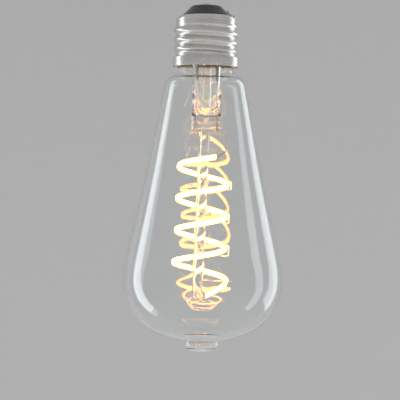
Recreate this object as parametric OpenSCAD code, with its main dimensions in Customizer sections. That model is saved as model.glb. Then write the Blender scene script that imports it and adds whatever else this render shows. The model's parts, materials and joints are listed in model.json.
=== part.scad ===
// Clear pear-shaped LED lamp with one spiral LED filament and an Edison screw cap.
// It hangs cap up: z = 0 is the face of the centre contact, and the glass lies below it.

/* [Glass bulb] */
// Length from the contact's face to the tip of the glass pip
overall_len = 140; // [136:0.5:146]
// Diameter of the glass at its widest
glass_d = 64; // [60:0.5:66]
// Thickness of the blown glass
glass_wall = 0.8; // [0.6:0.05:1.2]
// Height of the dome, from the widest circle down to its lowest point
dome_h = 24.3; // [23.5:0.1:27]
// Radius of the bend where the wall turns under into the dome
corner_r = 22.6; // [18:0.1:22.6]
// Radius of the long bend above the widest circle
shoulder_r = 41.5; // [30:0.5:50]
// How far the flank is drawn in from a straight line, halfway along
flank_hollow = 0.4; // [0:0.1:0.8]

/* [Glass neck] */
// Outer diameter of the neck where it sits in the cap
neck_d = 22.4; // [21.4:0.1:22.6]
// Depth below the contact at which the neck's glass ends inside the cap
neck_top = 19.5; // [18.5:0.1:20.5]
// Radius of the hollow bend under the cap
neck_hollow_r = 5.2; // [4:0.1:6]
// Radius of the round bend that leads on into the flank
neck_round_r = 5; // [4:0.1:6]
// Angle that the neck's wall opens to between its two bends
neck_turn = 62; // [50:1:70]

/* [Glass pip] */
// Diameter of the short pip under the dome
pip_d = 14.6; // [12:0.1:16]
// How far the pip stands out of the dome
pip_len = 4.4; // [3.8:0.1:6]
// Radius of the pip's rounded edge
pip_edge_r = 2.4; // [1.4:0.1:2.8]
// Radius of the pip's domed end
pip_end_r = 12; // [11:0.5:24]
// Radius of the fillet between pip and dome
pip_fillet_r = 0.6; // [0.4:0.1:1]

/* [Glass mount] */
// Outer diameter of the stem tube
stem_d = 11.6; // [11:0.1:12.4]
// Wall of the stem tube
stem_wall = 0.9; // [0.7:0.05:1.1]
// Sideways place of the stem tube in the flare
stem_shift = 0.7; // [0:0.05:0.8]
// Depth of the stem tube's lower end, where the pinch starts
stem_end = 42.7; // [40:0.1:46]
// Height of the pinch
pinch_h = 8.3; // [7.5:0.1:10]
// Width of the pinch
pinch_w = 12; // [11.4:0.1:13]
// Thickness of the pinch, front to back
pinch_t = 5; // [4.4:0.1:6]
// Outer diameter of the exhaust tube
exhaust_d = 4; // [3.4:0.1:4.4]
// Bore of the exhaust tube
exhaust_bore = 2.6; // [2:0.1:2.8]
// Depth of the exhaust tube's sealed tip
exhaust_tip = 15.4; // [14.5:0.1:17]
// Diameter of the hole through the pinch that the tube opens into
exhaust_hole = 2.2; // [1.8:0.1:2.6]
// Diameter of the glass rod
rod_d = 3.7; // [3:0.1:4.2]
// Length of the rod below the pinch
rod_len = 67.4; // [66:0.1:70]
// Lean of the rod and all that it carries
mount_lean = 1.65; // [0:0.05:2]
// Sideways place of the rod in the pinch
mount_shift = 0.3; // [0:0.05:0.8]

/* [LED filament] */
// Radius of the helix, to the middle of the strip
coil_r = 10.1; // [9.5:0.1:11]
// Pitch of the helix
coil_pitch = 12.8; // [12:0.1:13]
// Number of turns
coil_turns = 4.026; // [3.95:0.001:4.05]
// Angle at which the strip starts, from +X, seen from the cap
coil_start = -64; // [-75:1:-50]
// Height of the helix's start below the pinch
coil_drop = 10.6; // [10:0.1:12]
// Width of the strip, along the rod
strip_w = 1.9; // [1.6:0.1:2.2]
// Thickness of the whole strip
strip_t = 1.1; // [0.9:0.05:1.3]
// Thickness of the flexible carrier between the coats
carrier_t = 0.2; // [0.15:0.05:0.3]
// How far the last quarter turn is pulled down towards the rod's foot
end_pull = 3.3; // [2:0.1:4]
// How much wider the last turn stands than the first
end_spread = 0.9; // [0:0.1:1.2]
// Length of each metal end tab
tab_len = 5.6; // [5:0.1:6.5]
// Width of the end tabs
tab_w = 1.1; // [0.8:0.1:1.4]

/* [Wires] */
// Diameter of the leads inside the glass
lead_d = 0.5; // [0.4:0.05:0.6]
// Diameter of the wires sealed in the pinch
seal_d = 0.6; // [0.6:0.05:0.8]
// Distance between the wires sealed in the pinch
seal_gap = 8.4; // [7.6:0.1:8.6]
// Diameter of the fine anchor wires
anchor_d = 0.34; // [0.25:0.01:0.4]
// Diameter of the insulated wires in the cap
cap_wire_d = 1.1; // [0.9:0.1:1.2]
// Diameter of the sleeves on the outer leads
sleeve_d = 1.3; // [1.1:0.1:1.5]

/* [Screw cap] */
// Height of the cap, from the contact's face to its rim
cap_h = 25.5; // [25:0.1:26]
// Crest diameter of the thread
thread_d = 26.2; // [26:0.05:26.3]
// Depth of the thread
thread_depth = 1.1; // [0.9:0.05:1.2]
// Pitch of the thread
thread_pitch = 3.629; // [3.6:0.001:3.66]
// Diameter of the plain collar
collar_d = 26.6; // [26.5:0.05:26.8]
// Height of the plain collar
collar_h = 4; // [3.6:0.1:4.4]
// Thickness of the shell's sheet
shell_wall = 0.35; // [0.3:0.05:0.4]
// Depth of the shell's top edge below the contact's face
lip_top = 5; // [4.8:0.1:5.4]
// Diameter of the opening in the shell's top
lip_d = 19.8; // [19:0.1:20.4]
// Diameter of the contact plate
contact_d = 10.4; // [9.5:0.1:11]
// Diameter of the contact pin's head
pin_head_d = 5.6; // [5:0.1:6.5]
// Diameter of the contact pin's shank
pin_d = 1.8; // [1.4:0.1:2]

/* [Driver] */
// Width of the circuit board
board_w = 18; // [17:0.1:18.6]
// Height of the circuit board
board_h = 9.2; // [8.8:0.1:9.6]
// Thickness of the circuit board
board_t = 1; // [0.8:0.1:1.2]
// Diameter of the smoothing capacitor
cap_can_d = 6.3; // [5:0.1:6.3]
// Length of the smoothing capacitor
cap_can_h = 8.6; // [7:0.1:8.6]
// Length of the fuse resistor's body
fuse_len = 6; // [5:0.1:6.5]
// Diameter of the fuse resistor's body
fuse_d = 2.2; // [2:0.1:2.4]

/* [Hidden] */
$fn = 96;
// Space left between pieces that would otherwise cut into each other
seat = 0.05;
// How far a cutter reaches past what it cuts
over = 1;

// Shared outline tools
// A bend of the glass wall: its points, each with the outward direction there.
// side is 1 where the wall bulges and -1 where it is hollow.
function bend(c, r, a0, a1, n, side = 1) = [for (i = [0:n]) let (a = a0 + (a1 - a0) * i / n)
    [c.x + r * cos(a), c.y + r * sin(a), side * cos(a), side * sin(a)]];
function skin(wall_points, depth) = [for (p = wall_points)
    [max(0, p[0] - depth * p[2]), p[1] - depth * p[3]]];
function reversed(list) = [for (i = [len(list) - 1:-1:0]) list[i]];
function after_first(list) = [for (i = [1:len(list) - 1]) list[i]];
function unit(v) = v / norm(v);
function smooth(t) = let (s = min(1, max(0, t))) s * s * (3 - 2 * s);

// Glass bulb: one tangent line of arcs from the neck to the pip
glass_r = glass_d / 2;
dome_z = -(overall_len - pip_len);
wide_z = dome_z + dome_h;
neck_r = neck_d / 2;
// How far inside the cap's rim the neck's straight part ends
neck_inset = 0.5;
hollow_z = -cap_h + neck_inset;
neck_reach = neck_hollow_r + neck_round_r;
round_c = [neck_r + neck_hollow_r - neck_reach * cos(neck_turn), hollow_z - neck_reach * sin(neck_turn)];
shoulder_c = [glass_r - shoulder_r, wide_z];
// The flank is the line that touches both the neck's round bend and the shoulder
flank_run = shoulder_c - round_c;
flank_a = atan2(flank_run.y, flank_run.x) + acos(-(shoulder_r - neck_round_r) / norm(flank_run));
flank_n = [cos(flank_a), sin(flank_a)];
flank_top = round_c + neck_round_r * flank_n;
flank_end = shoulder_c + shoulder_r * flank_n;
flank_steps = 12;
flank = [for (i = [1:flank_steps - 1]) let (t = i / flank_steps, p = flank_top + (flank_end - flank_top) * t
    - flank_n * flank_hollow * pow(sin(180 * t), 2)) [p.x, p.y, flank_n.x, flank_n.y]];
corner_c = [glass_r - corner_r, wide_z];
dome_r = (pow(corner_c.x, 2) + pow(dome_h, 2) - pow(corner_r, 2)) / (2 * (dome_h - corner_r));
dome_c = [0, dome_z + dome_r];
dome_a = atan2(corner_c.y - dome_c.y, corner_c.x);
pip_r = pip_d / 2;
tip_z = -overall_len;
fillet_c = [pip_r + pip_fillet_r,
    dome_c.y - sqrt(pow(dome_r + pip_fillet_r, 2) - pow(pip_r + pip_fillet_r, 2))];
fillet_a = atan2(fillet_c.y - dome_c.y, fillet_c.x);
pip_end_c = [0, tip_z + pip_end_r];
pip_edge_c = [pip_r - pip_edge_r,
    pip_end_c.y - sqrt(pow(pip_end_r - pip_edge_r, 2) - pow(pip_r - pip_edge_r, 2))];
pip_edge_a = atan2(pip_edge_c.y - pip_end_c.y, pip_edge_c.x);
bulb_wall = concat(
    [[neck_r, -neck_top, 1, 0]],
    bend([neck_r + neck_hollow_r, hollow_z], neck_hollow_r, 180, 180 + neck_turn, 6, -1),
    bend(round_c, neck_round_r, neck_turn, flank_a, 5),
    flank,
    bend(shoulder_c, shoulder_r, flank_a, 0, 4),
    after_first(bend(corner_c, corner_r, 0, dome_a, 11)),
    after_first(bend(dome_c, dome_r, dome_a, fillet_a, 4)),
    bend(fillet_c, pip_fillet_r, fillet_a + 180, 180, 3, -1),
    bend(pip_edge_c, pip_edge_r, 0, pip_edge_a, 5),
    after_first(bend(pip_end_c, pip_end_r, pip_edge_a, -90, 4)));

// Glass mount
stem_r = stem_d / 2;
stem_bore = stem_r - stem_wall;
stem_z = -stem_end;
pinch_z = stem_z - pinch_h;
// Height over which the round tube flattens into the pinch
pinch_blend = 3;
// Depth of the rod's seat in the pinch
rod_seat = 3;
// Height of the flare's lip, which is melted onto the end of the neck
flare_lip = 0.8;
// Height of the flare
flare_h = 7.5;
flare_foot = -neck_top - flare_h;
// The flare's throat takes in the tube where it stands, and a ring of glass joins the two
throat_r = stem_r + stem_shift + seat;
throat_ring = 1;
module on_stem() { translate([stem_shift, 0, 0]) children(); }
// A point of the leaning mount, given from the rod's axis and the pinch's foot
function hung(p) = [mount_shift + p.x * cos(mount_lean) + p.z * sin(mount_lean), p.y,
    pinch_z + p.z * cos(mount_lean) - p.x * sin(mount_lean)];
module on_mount() { translate([mount_shift, 0, pinch_z]) rotate([0, mount_lean, 0]) children(); }

// Filament: middle of the strip at turn t, from the rod's axis and the pinch's foot
rings_a_turn = 24;
coil_rings = ceil(coil_turns * rings_a_turn);
// Turns over which the helix widens, and over which its end is pulled down
spread_turns = 1.5;
pull_turns = 0.28;
function coil_a(t) = coil_start - 360 * t;
function coil_rad(t) = coil_r + end_spread * smooth((t - coil_turns + spread_turns) / spread_turns);
function coil_z(t) = -coil_drop - coil_pitch * t
    - end_pull * pow(max(0, (t - coil_turns + pull_turns) / pull_turns), 2);
function coil_point(t, dr = 0, dz = 0) = let (a = coil_a(t), r = coil_rad(t) + dr)
    hung([r * cos(a), r * sin(a), coil_z(t) + dz]);
// The least gap between one turn of the strip and the next
coil_gap = min([for (i = [0:coil_rings - rings_a_turn]) let (t = coil_turns * i / coil_rings)
    coil_z(t) - coil_z(t + 1) - strip_w]);
echo(least_gap_between_filament_turns_mm = coil_gap);

// Swept shapes
// Triangles that join rings of points into a closed tube
function tube_faces(rings, sides) = concat(
    [for (k = [1:sides - 2]) [0, k, k + 1]],
    [for (i = [0:rings - 2], k = [0:sides - 1]) let (a = i * sides + k, b = i * sides + (k + 1) % sides)
        each [[a, a + sides, b], [b, a + sides, b + sides]]],
    [for (k = [1:sides - 2]) let (o = (rings - 1) * sides) [o, o + k + 1, o + k]]);
// A strip whose section, in steps outward and up, follows the helix
module coil_strip(section) {
    points = [for (i = [0:coil_rings], s = section) coil_point(coil_turns * i / coil_rings, s.x, s.y)];
    polyhedron(points, tube_faces(coil_rings + 1, len(section)));
}
function heading(path, i) = unit(path[min(i + 1, len(path) - 1)] - path[max(i - 1, 0)]);
function square_to(v, t) = unit(v - (v * t) * t);
// Side directions along a path, each turned as little as can be from the last
function sides_of(path, first) = [for (i = 0, v = square_to(first, heading(path, 0)); i < len(path);
    i = i + 1, v = i < len(path) ? square_to(v, heading(path, i)) : v) v];
// A path with its corners rounded: each inner corner becomes a short curve.
// A curve takes up less than half of the run on either side of it.
run_share = 0.45;
function eased(path, cut, n = 4) = concat([path[0]],
    [for (i = [1:len(path) - 2]) let (p = path[i], a = path[i - 1] - p, b = path[i + 1] - p,
        s = p + unit(a) * min(cut, norm(a) * run_share), e = p + unit(b) * min(cut, norm(b) * run_share))
        each [for (j = [0:n]) let (t = j / n) s * pow(1 - t, 2) + p * 2 * t * (1 - t) + e * t * t]],
    [path[len(path) - 1]]);
// A wire along a path. flat makes it a ribbon, that many times wider than it is thick.
module wire(path, d, sides = 8, first = [0, 1, 0], flat = 1) {
    across = sides_of(path, first);
    points = [for (i = [0:len(path) - 1]) let (t = heading(path, i), u = across[i], w = cross(t, u))
        for (k = [0:sides - 1]) let (a = 360 * (k + 0.5) / sides)
            path[i] + d / 2 * (cos(a) * u + flat * sin(a) * w)];
    polyhedron(points, tube_faces(len(path), sides));
}
// A four-sided wire is as thick as its diameter over the root of 2
module ribbon(path, first) { wire(path, tab_t * sqrt(2), 4, first, tab_w / tab_t); }

// Screw cap
thread_crest = thread_d / 2;
thread_root = thread_crest - thread_depth;
shell_bore = thread_root - shell_wall;
collar_r = collar_d / 2;
collar_bore = collar_r - shell_wall;
collar_z = -cap_h + collar_h;
flange_z = collar_z - shell_wall;
lip_r = lip_d / 2;
bend_r = thread_root - lip_r;
thread_z = -lip_top - bend_r;
shell_sides = 48;
rows_a_pitch = 8;
bend_rows = 5;
thread_rows = round((thread_z - collar_z) / thread_pitch * rows_a_pitch);
// Pitches over which the thread fades in under the lip, and out above the collar
fade_top = 1;
fade_low = 2 / 3;
function thread_height(z, a) = thread_depth * (0.5 - 0.5 * cos(360 * z / thread_pitch + a))
    * smooth((thread_z - z) / (fade_top * thread_pitch)) * smooth((z - collar_z) / (fade_low * thread_pitch));
// A row of the shell's bend: depth, radius, and 1 where the thread stands on it
function bend_row(a, r, top) = [top - r * (1 - sin(a)), lip_r + r * cos(a), 0];
inner_bend_r = shell_bore - lip_r;
shell_outside = concat(
    [for (i = [0:bend_rows - 1]) bend_row(90 - 90 * i / bend_rows, bend_r, -lip_top)],
    [for (i = [0:thread_rows]) [thread_z + (collar_z - thread_z) * i / thread_rows, thread_root, 1]],
    [[(collar_z + flange_z) / 2, thread_root, 0]]);
shell_inside = concat([[(collar_z + flange_z) / 2, shell_bore, 0]],
    [for (i = [0:bend_rows]) bend_row(90 * i / bend_rows, inner_bend_r, -lip_top - shell_wall)]);

module threaded_tube() {
    rows = concat(shell_outside, shell_inside);
    n = shell_sides;
    points = [for (row = rows, k = [0:n - 1])
        let (a = 360 * k / n, r = row[1] + row[2] * thread_height(row[0], a))
        [r * cos(a), r * sin(a), row[0]]];
    faces = [for (j = [0:len(rows) - 1], k = [0:n - 1])
        let (a = j * n + k, b = j * n + (k + 1) % n, step = (j + 1 < len(rows) ? 1 : 1 - len(rows)) * n)
        each [[a, b, a + step], [b, b + step, a + step]]];
    polyhedron(points, faces);
}

// Pieces of glass
module glass_envelope() {
    color([0.93, 0.95, 0.95, 0.3]) rotate_extrude()
        polygon(concat(skin(bulb_wall, 0), reversed(skin(bulb_wall, glass_wall))));
}

// The flare's curve, from its throat out to its lip
flare_steps = 7;
flare_rim = neck_r - glass_wall;
function trumpet(throat, foot, top, steps) = [for (i = steps) let (a = 90 * i / flare_steps)
    [flare_rim - (flare_rim - throat) * cos(a), foot + (top - foot) * sin(a)]];
module flare() {
    rotate_extrude() polygon(concat(
        [[0, flare_foot], [throat_r, flare_foot]],
        trumpet(throat_r, flare_foot, -neck_top, [1:flare_steps]),
        [[neck_r, -neck_top], [neck_r, -neck_top + flare_lip]],
        trumpet(throat_r - stem_wall, flare_foot + throat_ring, -neck_top + flare_lip,
            [flare_steps:-1:0]),
        [[0, flare_foot + throat_ring]]));
}
module stem_flare() {
    slice = 0.2;
    tube_h = flare_foot + throat_ring / 2 - stem_z;
    color([0.93, 0.95, 0.95, 0.4]) difference() {
        union() {
            flare();
            on_stem() {
                translate([0, 0, stem_z]) cylinder(r = stem_r, h = tube_h);
                hull() {
                    translate([0, 0, stem_z]) cylinder(r = stem_r, h = slice, $fn = 32);
                    translate([0, 0, stem_z - pinch_blend]) pinch_block(slice);
                }
                translate([0, 0, pinch_z]) pinch_block(pinch_h - pinch_blend + slice / 2);
            }
        }
        on_stem() {
            translate([0, 0, stem_z + slice]) cylinder(r = stem_bore, h = tube_h + over);
            translate([0, 0, exhaust_low]) cylinder(d = exhaust_d, h = pinch_blend + over);
            exhaust_way();
        }
        for (side = [-1, 1]) translate([seal_at(side), 0, pinch_z - over])
            cylinder(d = seal_d, h = pinch_h + over + 2 * seal_end);
        on_mount() translate([0, 0, -over]) cylinder(d = rod_d, h = rod_seat + over);
    }
}

// The flat of the pinch: a bar with round ends, seen from below
module pinch_block(h) {
    half = (pinch_w - pinch_t) / 2;
    linear_extrude(h) union() {
        square([2 * half, pinch_t], center = true);
        for (side = [-1, 1]) translate([side * half, 0]) circle(d = pinch_t, $fn = 32);
    }
}

// The way through which the air was drawn out, from front to back
module exhaust_way() {
    translate([0, pinch_t, exhaust_low]) rotate([90, 0, 0]) cylinder(d = exhaust_hole, h = 2 * pinch_t);
}

exhaust_low = stem_z - pinch_blend;
exhaust_dome = -exhaust_tip - exhaust_d / 2;
module exhaust_tube() {
    color([0.93, 0.95, 0.95, 0.4]) on_stem() difference() {
        union() {
            translate([0, 0, exhaust_low]) cylinder(d = exhaust_d, h = exhaust_dome - exhaust_low);
            translate([0, 0, exhaust_dome]) sphere(d = exhaust_d);
        }
        translate([0, 0, exhaust_low - over])
            cylinder(d = exhaust_bore, h = exhaust_dome - exhaust_low + over);
        exhaust_way();
    }
}

// The rod's foot is rounded by a ball of this radius
foot_r = rod_d * 3 / 4;
module glass_rod() {
    color([0.93, 0.95, 0.95, 0.4]) on_mount() difference() {
        union() {
            translate([0, 0, -rod_len + rod_d / 4]) cylinder(d = rod_d, h = rod_len + rod_seat - rod_d / 4);
            intersection() {
                translate([0, 0, -rod_len + foot_r]) sphere(r = foot_r);
                translate([0, 0, -rod_len]) cylinder(d = rod_d, h = rod_d / 2);
            }
        }
        for (k = [0:3]) translate([0, 0, anchor_z(k)]) rotate([0, 90, 0])
            cylinder(d = anchor_d + 2 * seat, h = rod_d);
    }
}

// The LED filament
half_w = strip_w / 2;
half_t = strip_t / 2;
half_c = carrier_t / 2;
// Each coat is a flat bar with its outer edges rounded off: shares of its thickness and of its width
coat_edge = 0.7;
coat_flat = 0.55;
// The section of the coat on the outer side (1) or the inner side (-1) of the carrier
function coat(side) = side * [[half_c, -half_w], [half_t * coat_edge, -half_w], [half_t, -half_w * coat_flat],
    [half_t, half_w * coat_flat], [half_t * coat_edge, half_w], [half_c, half_w]];
module phosphor_outer() { color([1, 0.78, 0.35]) coil_strip(coat(1)); }
module phosphor_inner() { color([1, 0.74, 0.3]) coil_strip(coat(-1)); }

// How far the carrier's edges lie inside the coats' edges
carrier_inset = 0.1;
module filament_carrier() {
    half = half_w - carrier_inset;
    color([0.85, 0.6, 0.35]) coil_strip([[half_c, half], [-half_c, half], [-half_c, -half], [half_c, -half]]);
}

// The tabs carry on from the strip's ends, clear of the coats
tab_t = 0.25;
tab_sweep = tab_len / coil_r / PI * 180;
// How far the upper tab climbs to its weld
tab_climb = 2.2;
// How far the lower tab and its lead reach up the front of the rod's foot
foot_overlap = 2.4;
upper_end = [for (i = [0:4]) let (a = coil_start + 1 + tab_sweep * i / 4)
    hung([coil_r * cos(a), coil_r * sin(a), -coil_drop + tab_climb * smooth(i / 4)])];
lead_front = -rod_d / 2 - lead_d / 2 - 2 * seat;
pad_y = lead_front - lead_d / 2 - tab_t / 2 - 3 * seat;
tab_from = coil_point(coil_turns + 0.003);
lower_end = eased([tab_from, coil_point(coil_turns + 0.015), tab_from + [-1, 0.3, -1.9],
    hung([0.5, pad_y - 1.8, -rod_len + 0.6]), hung([0, pad_y, -rod_len + 0.8]),
    hung([0, pad_y, -rod_len + foot_overlap + 0.2])], 1, 3);

module upper_tab() { color([0.8, 0.78, 0.72]) ribbon(upper_end, [1, 0, 0]); }
module lower_tab() { color([0.8, 0.78, 0.72]) ribbon(lower_end, [0, 1, 0]); }

// Wires inside the glass
function seal_at(side) = stem_shift + side * seal_gap / 2;
weld = upper_end[4] + [0.1, 0, tab_w / 2];
upper_path = eased([[seal_at(1), 0, pinch_z], [seal_at(1), 0, pinch_z - 0.8],
    [weld.x - 0.7, weld.y * 0.75, pinch_z - 1.4], [weld.x, weld.y, pinch_z - 2.4], weld], 0.7);
// The return lead runs down the rod's left side, passes under its foot and ends on its front
return_x = -rod_d / 2 - lead_d / 2 - seat;
return_low = -rod_len - lead_d / 2 - 0.5;
// It bows out to the left just under the pinch, and joins the rod lower down
bow_out = 2.7;
bow_drop = 1;
join_drop = 8;
return_path = eased([[seal_at(-1), 0, pinch_z], [seal_at(-1), 0, pinch_z - bow_drop / 2],
    [seal_at(-1) - bow_out, lead_d * 0.4, pinch_z - bow_drop],
    [seal_at(-1) - lead_d, lead_d * 0.4, pinch_z - bow_drop * 2.6],
    [seal_at(-1) - lead_d * 0.4, lead_d * 0.2, pinch_z - bow_drop * 3.6], hung([return_x, 0, -join_drop]),
    hung([return_x, 0, return_low]), hung([0, lead_front, return_low]),
    hung([0, lead_front, -rod_len + foot_overlap])], 0.5);

module upper_lead() { color([0.75, 0.72, 0.68]) wire(upper_path, lead_d); }
module return_lead() { color([0.75, 0.72, 0.68]) wire(return_path, lead_d, 8, [1, 0, 0]); }

// One anchor at each right-hand turn. The first three reach out over the strip, drop down
// its outer face and end under it. The last leaves the rod level with the strip,
// steps over it and ends in a stub that points outward.
anchor_turns = [for (k = [1:4]) k + coil_start / 360];
anchor_rise = half_w + anchor_d / 2 + 2 * seat;
anchor_clear = half_t + anchor_d / 2 + 2 * seat;
// How deep each anchor sits in the rod
anchor_seat = 1.2;
// How far each hook stands out from the middle of the strip, how far its foot lies below that,
// and how far inside it the foot ends
hook_out = [1.3, 0.95, 1.35];
hook_drop = [2.05, 2.9, 3.2];
hook_end = [0.9, 0.9, 1.6];
// How far the last anchor's stub reaches out from the middle of the strip
stub_reach = 2.4;
stub_z = -0.2;
function anchor_z(k) = coil_z(anchor_turns[k]) + (k < 3 ? anchor_rise : stub_z);
function anchor_run(k) = let (r = coil_rad(anchor_turns[k]), in = r - anchor_clear,
        out = r + max(anchor_clear, k < 3 ? hook_out[k] : 0))
    k < 3 ? [[out, anchor_rise], [out, -hook_drop[k]], [r - hook_end[k], -hook_drop[k]]]
        : [[in, stub_z], [in, anchor_rise], [out, anchor_rise], [out, stub_z], [r + stub_reach, stub_z]];
function anchor_path(k) = let (z = coil_z(anchor_turns[k])) eased(concat(
    [hung([rod_d / 2 - anchor_seat, 0, anchor_z(k)])],
    [for (p = anchor_run(k)) hung([p.x, 0, z + p.y])]), 0.6, 3);
module anchor_wires() {
    color([0.7, 0.7, 0.7]) for (k = [0:3]) wire(anchor_path(k), anchor_d, 6);
}

// How far the sealed wires stand out of the glass above the pinch
seal_end = 0.5;
module seal_wires() {
    color([0.75, 0.35, 0.2]) for (side = [-1, 1]) translate([seal_at(side), 0, pinch_z])
        cylinder(d = seal_d, h = pinch_h + seal_end);
}

// Wires between the pinch and the driver
board_y = 2.9;
board_top = -lip_top - shell_wall - 2.85;
board_foot = board_top - board_h;
lead_end_x = 7.6;
lead_y = board_y - lead_d / 2 - seat;
function outer_path(side) = eased([[seal_at(side), 0, stem_z + seal_end],
    [seal_at(side), 0, -neck_top - 1.2],
    [side * lead_end_x, lead_y, board_foot - 1.2], [side * lead_end_x, lead_y, board_foot + 1.6]], 0.8);
module outer_leads() { color([0.75, 0.72, 0.68]) for (side = [-1, 1]) wire(outer_path(side), lead_d); }

// Each sleeve is a length of tubing round the straight run of its lead, up inside the neck
sleeve_h = 8;
sleeve_top = -neck_top - 3;
module lead_sleeves() {
    color([0.95, 0.95, 0.9]) for (side = [-1, 1]) translate([seal_at(side), 0, sleeve_top - sleeve_h])
        difference() {
            cylinder(d = sleeve_d, h = sleeve_h);
            translate([0, 0, -over]) cylinder(d = lead_d + seat, h = sleeve_h + 2 * over);
        }
}

// The screw cap
flange_in = shell_bore - 0.2;
module screw_shell() {
    color([0.82, 0.82, 0.8]) union() {
        threaded_tube();
        rotate_extrude() polygon([[flange_in, collar_z], [collar_bore, collar_z], [collar_r, flange_z],
            [collar_r, -cap_h], [collar_bore, -cap_h], [collar_bore, flange_z], [flange_in, flange_z]]);
    }
}

// The contact plate lies in a shallow seat in the insulator's top
insulator_top = 1.1;
plate_seat = 0.35;
plate_z = -insulator_top - plate_seat;
insulator_foot = board_top + 0.45;
// The bevel at the foot of the insulator's bore
bore_bevel = 1.4;
// The insulator's side follows the shell's inner face, a seat's width inside its flats
shell_inner_flat = cos(180 / shell_sides);
module cap_insulator() {
    plate_r = contact_d / 2;
    color([0.07, 0.07, 0.09]) difference() {
        rotate_extrude() polygon(concat(
            [[pin_d / 2, plate_z], [plate_r, plate_z], [plate_r, -insulator_top + 0.15],
                [plate_r + 0.9, -insulator_top + 0.1], [plate_r + 1.6, -insulator_top - 0.5],
                [lip_r - 0.5, -lip_top + 0.5], [lip_r - 2 * seat, -lip_top],
                [lip_r - 2 * seat, -lip_top - shell_wall - seat]],
            [for (i = [bend_rows:-1:0]) let (row = shell_inside[i + 1]) if (row[0] > insulator_foot)
                [row[1] * shell_inner_flat - 2 * seat, row[0] - 2 * seat]],
            [[shell_bore * shell_inner_flat - 2 * seat, insulator_foot],
                [pin_d / 2 + bore_bevel, insulator_foot], [pin_d / 2, insulator_foot + bore_bevel]]));
        translate([shell_wire_x, 0, insulator_foot - over])
            cylinder(d = lead_d + 6 * seat, h = -insulator_foot);
    }
}

// The pin's head is flat, and its shank ends above the board
pin_head_h = 0.6;
pin_edge = 0.3;
pin_foot = insulator_foot + 1.6;
module centre_contact() {
    plate_r = contact_d / 2;
    color([0.85, 0.7, 0.4]) rotate_extrude() polygon([[pin_d / 2, plate_z], [plate_r, plate_z],
        [plate_r, -pin_head_h - 0.35], [plate_r - 0.35, -pin_head_h - 0.1], [pin_d / 2, -pin_head_h]]);
}
module contact_pin() {
    head_r = pin_head_d / 2;
    color([0.8, 0.8, 0.78]) union() {
        rotate_extrude() polygon([[0, 0], [head_r - 0.5, 0], [head_r, -pin_edge],
            [head_r, -pin_head_h], [0, -pin_head_h]]);
        translate([0, 0, pin_foot]) cylinder(d = pin_d, h = -pin_foot);
    }
}

// The cement fills the collar and reaches up between the neck and the shell
module basing_cement() {
    color([0.9, 0.87, 0.78]) rotate_extrude() polygon([[neck_r, -cap_h + neck_inset],
        [collar_bore, -cap_h + 0.2], [collar_bore, flange_z], [flange_in, flange_z],
        [flange_in, collar_z + 0.8], [neck_r, collar_z + 1.2]]);
}

// The driver in the cap
module driver_board() {
    color([0.1, 0.4, 0.2]) translate([-board_w / 2, board_y, board_foot]) cube([board_w, board_t, board_h]);
}

// A chip whose metal feet lie in its own body's outline
chip_foot = 0.5;
module chip(size) {
    translate([0.4, 0, 0]) cube([size.x - 0.8, size.y - 0.1, size.z]);
    for (x = [0, size.x - chip_foot], z = [0.15, 0.65]) translate([x, 0, size.z * z])
        cube([chip_foot, chip_foot, size.z * 0.2]);
}
back_y = board_y + board_t;
rectifier_size = [6.4, 1.5, 4.7];
driver_size = [5, 1.4, 4.4];
module bridge_rectifier() {
    color([0.1, 0.1, 0.1]) translate([-7.6, back_y, board_foot + 2]) chip(rectifier_size);
}
module driver_chip() {
    color([0.1, 0.1, 0.1]) translate([3.6, board_y, board_foot + 2.4]) mirror([0, 1, 0]) chip(driver_size);
}

// The capacitor stands behind the board on two legs that bend into it
can_r = cap_can_d / 2;
can_edge = 0.3;
can_x = 3.9;
can_y = back_y + can_r + 2 * seat;
can_z = board_foot + 0.9;
leg_d = 0.5;
leg_x = 1.25;
leg_drop = 0.6;
module smoothing_capacitor() {
    color([0.15, 0.2, 0.35]) translate([can_x, can_y, can_z]) rotate_extrude() polygon([[0, 0],
        [can_r - can_edge, 0], [can_r, can_edge], [can_r, 0.8], [can_r - can_edge, 1.1],
        [can_r, 1.4], [can_r, cap_can_h - can_edge], [can_r - can_edge, cap_can_h], [0, cap_can_h]]);
}
module capacitor_legs() {
    color([0.8, 0.8, 0.8]) for (side = [-1, 1]) let (x = can_x + side * leg_x)
        wire(eased([[x, can_y, can_z], [x, can_y, can_z - leg_drop], [x, back_y, can_z - leg_drop]],
            leg_d / 2, 3), leg_d, 8, [1, 0, 0]);
}

// The fuse resistor stands on the front, with a thin waist between its two end caps
fuse_r = fuse_d / 2;
fuse_waist = fuse_r - 0.2;
fuse_edge = 0.3;
fuse_x = -4.8;
fuse_y = board_y - fuse_r - seat;
fuse_z = board_foot + board_h / 2 + 0.3;
module fuse_resistor() {
    color([0.2, 0.55, 0.35]) translate([fuse_x, fuse_y, fuse_z - fuse_len / 2]) rotate_extrude()
        polygon([[0, 0], [fuse_r - fuse_edge, 0], [fuse_r, fuse_edge], [fuse_r, 1.1], [fuse_waist, 1.5],
            [fuse_waist, fuse_len - 1.5], [fuse_r, fuse_len - 1.1], [fuse_r, fuse_len - fuse_edge],
            [fuse_r - fuse_edge, fuse_len], [0, fuse_len]]);
}
module fuse_legs() {
    color([0.8, 0.8, 0.8]) for (side = [-1, 1]) let (z = fuse_z + side * fuse_len / 2, end = z + side * leg_d)
        wire(eased([[fuse_x, fuse_y, z], [fuse_x, fuse_y, end], [fuse_x, board_y, end]], leg_d / 2, 3),
            leg_d, 8, [1, 0, 0]);
}

// Three chip resistors in a row on the front
chip_resistor = [1.2, 0.5, 2];
chip_step = 1.9;
module chip_resistors() {
    color([0.15, 0.15, 0.15]) for (i = [0:2])
        translate([-2.6 + i * chip_step, board_y - chip_resistor.y, board_foot + 3.6]) cube(chip_resistor);
}

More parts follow.
